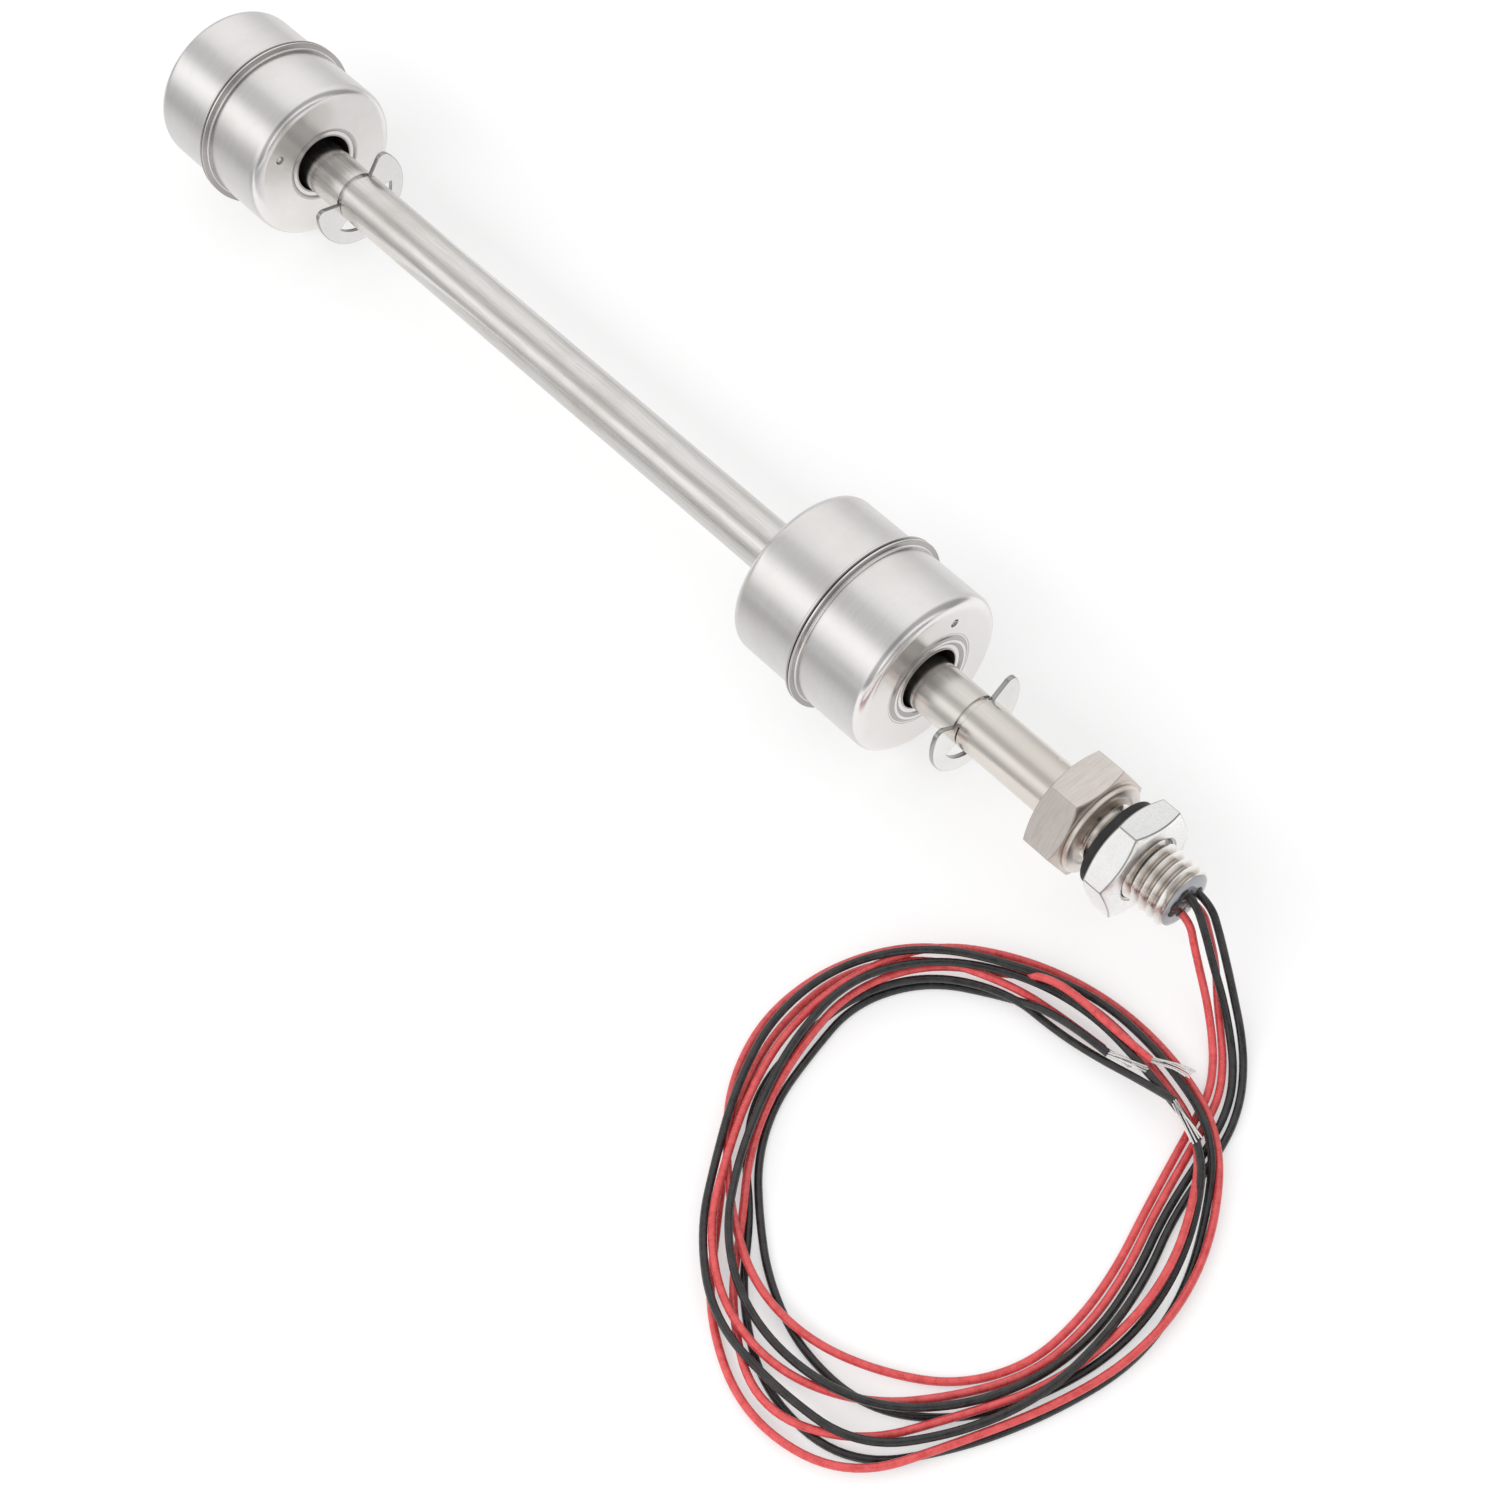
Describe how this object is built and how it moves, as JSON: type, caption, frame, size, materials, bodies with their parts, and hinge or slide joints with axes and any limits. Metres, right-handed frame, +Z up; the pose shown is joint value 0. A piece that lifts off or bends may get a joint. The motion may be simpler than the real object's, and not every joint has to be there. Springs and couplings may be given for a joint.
{
  "type": "float level switch",
  "caption": "Straight level switch for a tank wall: magnetic floats slide on a steel stem with reed switches inside, threaded mounting end with gasket and nut, loose leads.",
  "frame": {"origin": "on the surface that the switch lies on, under the middle of the switch's length and its axis, leads left out", "axes": "+X along the stem towards the lead end, +Y across it, +Z up from the surface it lies on"},
  "size_m": [0.2702, 0.1052, 0.0302],
  "materials": {
    "stem_steel": "drawn stainless tube, fine lines along it",
    "body_steel": "turned stainless bar",
    "clip_steel": "stamped spring steel, bright edges",
    "float_steel": "polished stainless sheet, fine lines round it",
    "magnet_ferrite": "pressed ferrite",
    "spacer_plastic": "plain moulded",
    "gasket_rubber": "matt black",
    "nut_steel": "bright, finely blasted flats",
    "reed_glass": "clear, green tint",
    "reed_alloy": "flattened wire",
    "sleeve_plastic": "thin shrink tube",
    "tinned_copper": "twisted and tinned strands",
    "potting_resin": "glossy cast resin",
    "black_insulation": "smooth, slightly glossy",
    "red_insulation": "smooth, slightly glossy"
  },
  "bodies": {
    "stem": {"stem_tube": "stem_steel", "stem_tip_plug": "stem_steel", "mounting_body": "body_steel", "upper_float_bottom_clip": "clip_steel", "upper_float_top_clip": "clip_steel", "lower_float_bottom_clip": "clip_steel", "lower_float_top_clip": "clip_steel", "upper_reed_glass": "reed_glass", "upper_reed_top_blade": "reed_alloy", "upper_reed_bottom_blade": "reed_alloy", "upper_reed_sleeve": "sleeve_plastic", "lower_reed_glass": "reed_glass", "lower_reed_top_blade": "reed_alloy", "lower_reed_bottom_blade": "reed_alloy", "lower_reed_sleeve": "sleeve_plastic", "black_lead_a_inside": "black_insulation", "black_lead_b_inside": "black_insulation", "red_lead_a_inside": "red_insulation", "red_lead_b_inside": "red_insulation", "potting_plug": "potting_resin", "black_lead_a": "black_insulation", "black_lead_b": "black_insulation", "red_lead_a": "red_insulation", "red_lead_b": "red_insulation", "black_lead_a_strands": "tinned_copper", "black_lead_b_strands": "tinned_copper", "red_lead_a_strands": "tinned_copper", "red_lead_b_strands": "tinned_copper", "lead_coil": "black_insulation"},
    "upper_float": {"upper_float_top_cup": "float_steel", "upper_float_bottom_cup": "float_steel", "upper_float_bore_tube": "float_steel", "upper_float_magnet": "magnet_ferrite", "upper_float_top_spacer": "spacer_plastic", "upper_float_bottom_spacer": "spacer_plastic"},
    "lower_float": {"lower_float_top_cup": "float_steel", "lower_float_bottom_cup": "float_steel", "lower_float_bore_tube": "float_steel", "lower_float_magnet": "magnet_ferrite", "lower_float_top_spacer": "spacer_plastic", "lower_float_bottom_spacer": "spacer_plastic"},
    "gasket": {"sealing_gasket": "gasket_rubber"},
    "lock_nut": {"lock_nut": "nut_steel"}
  },
  "joints": [
    {"name": "upper_float_slide", "type": "slide", "parent": "stem", "child": "upper_float", "axis": [1, 0, 0], "range_m": [-0.00135, 0.00875]},
    {"name": "lower_float_slide", "type": "slide", "parent": "stem", "child": "lower_float", "axis": [1, 0, 0], "range_m": [-0.00095, 0.00915]},
    {"name": "gasket_slide", "type": "slide", "parent": "stem", "child": "gasket", "axis": [1, 0, 0], "range_m": [-0.00235, 0.00602]},
    {"name": "nut_turn", "type": "hinge", "parent": "gasket", "child": "lock_nut", "pos_m": [0.10542, 0, 0.0143], "axis": [1, 0, 0], "range_deg": [-560, 1440]}
  ],
  "couplings": [
    {"joint": "gasket_slide", "follows": "nut_turn", "m_per_rad": 0.00023873}
  ]
}
